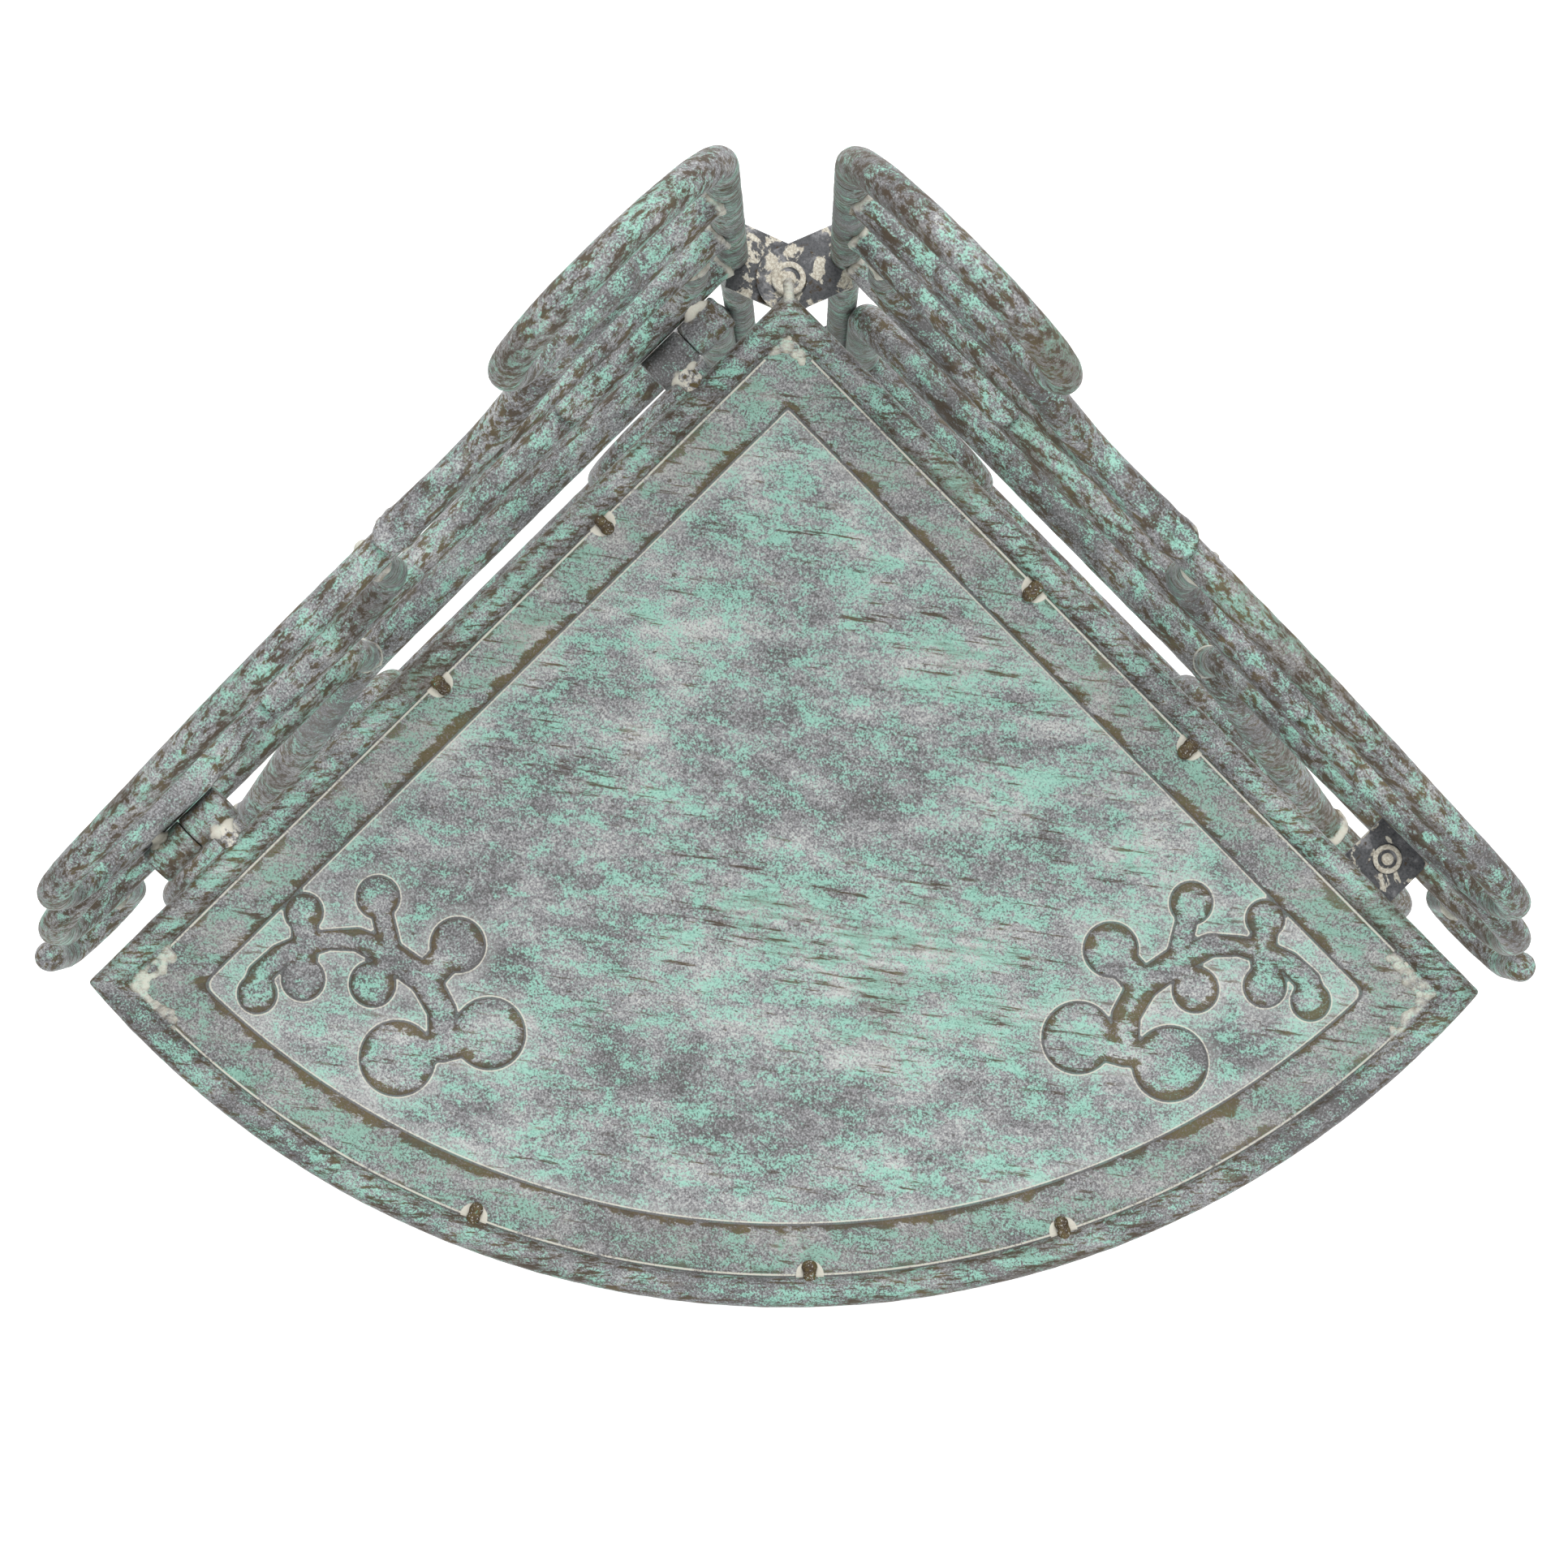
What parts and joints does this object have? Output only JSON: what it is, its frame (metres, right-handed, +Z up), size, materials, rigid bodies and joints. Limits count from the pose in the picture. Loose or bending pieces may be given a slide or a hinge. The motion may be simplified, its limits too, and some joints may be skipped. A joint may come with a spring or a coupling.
{
  "type": "folding corner shelf",
  "caption": "Folding corner shelf: quarter-round metal trays that hinge up between two scrolled side frames, in worn verdigris paint.",
  "frame": {"origin": "on the floor, at the middle of the footprint's bounding box", "axes": "+Z up; the right frame runs along +X from the corner, the left frame along -Y, and the trays' curved fronts face +X -Y"},
  "size_m": [0.4452, 0.4452, 0.9144],
  "materials": {
    "patina_bar": "matte verdigris over brown",
    "patina_tray": "matte verdigris with pale wash",
    "worn_lug": "matte dark grey with cream patches",
    "washed_weld": "matte cream wash",
    "pin": "bare steel",
    "foot": "matte"
  },
  "bodies": {
    "left_frame": {"left_back_hoop": "patina_bar", "left_back_post": "patina_bar", "left_feet": "foot", "left_front_hook": "patina_bar", "left_front_leg": "patina_bar", "left_gallery_rail": "patina_bar", "left_gallery_scrolls": "patina_bar", "left_leg_frame": "patina_bar", "left_lower_tray_rail": "patina_bar", "left_swan_rail": "patina_bar", "left_top_arch": "patina_bar", "left_tray_rail": "patina_bar", "lower_corner_rivet": "washed_weld", "lower_frame_knuckles": "patina_bar", "lower_hinge_pins": "pin", "lower_left_corner_lug": "worn_lug", "top_corner_rivet": "washed_weld", "top_frame_knuckles": "patina_bar", "top_hinge_pins": "pin", "top_left_corner_lug": "worn_lug"},
    "right_frame": {"lower_rest_lug": "worn_lug", "lower_rest_rivet": "washed_weld", "lower_right_corner_lug": "worn_lug", "right_back_hoop": "patina_bar", "right_back_post": "patina_bar", "right_feet": "foot", "right_front_hook": "patina_bar", "right_front_leg": "patina_bar", "right_gallery_rail": "patina_bar", "right_gallery_scrolls": "patina_bar", "right_leg_frame": "patina_bar", "right_lower_tray_rail": "patina_bar", "right_swan_rail": "patina_bar", "right_top_arch": "patina_bar", "right_tray_rail": "patina_bar", "top_rest_lug": "worn_lug", "top_rest_rivet": "washed_weld", "top_right_corner_lug": "worn_lug"},
    "top_tray": {"top_tray_front_rim_rod": "patina_tray", "top_tray_hinge_knuckles": "patina_bar", "top_tray_hinge_welds": "washed_weld", "top_tray_left_rim_rod": "patina_tray", "top_tray_pan": "patina_tray", "top_tray_right_rim_rod": "patina_tray", "top_tray_tack_welds": "washed_weld"},
    "lower_tray": {"lower_tray_front_rim_rod": "patina_tray", "lower_tray_hinge_knuckles": "patina_bar", "lower_tray_hinge_welds": "washed_weld", "lower_tray_left_rim_rod": "patina_tray", "lower_tray_pan": "patina_tray", "lower_tray_right_rim_rod": "patina_tray", "lower_tray_tack_welds": "washed_weld"}
  },
  "joints": [
    {"name": "top_tray_fold", "type": "hinge", "parent": "left_frame", "child": "top_tray", "pos_m": [-0.19592, 0.14122, 0.59505], "axis": [0, -1, 0], "range_deg": [0, 87]},
    {"name": "lower_tray_fold", "type": "hinge", "parent": "left_frame", "child": "lower_tray", "pos_m": [-0.19592, 0.14122, 0.17605], "axis": [0, -1, 0], "range_deg": [0, 87]},
    {"name": "right_frame_swing", "type": "hinge", "parent": "left_frame", "child": "right_frame", "pos_m": [-0.18723, 0.18723, 0.58605], "axis": [0, 0, 1], "range_deg": [0, 75]}
  ]
}
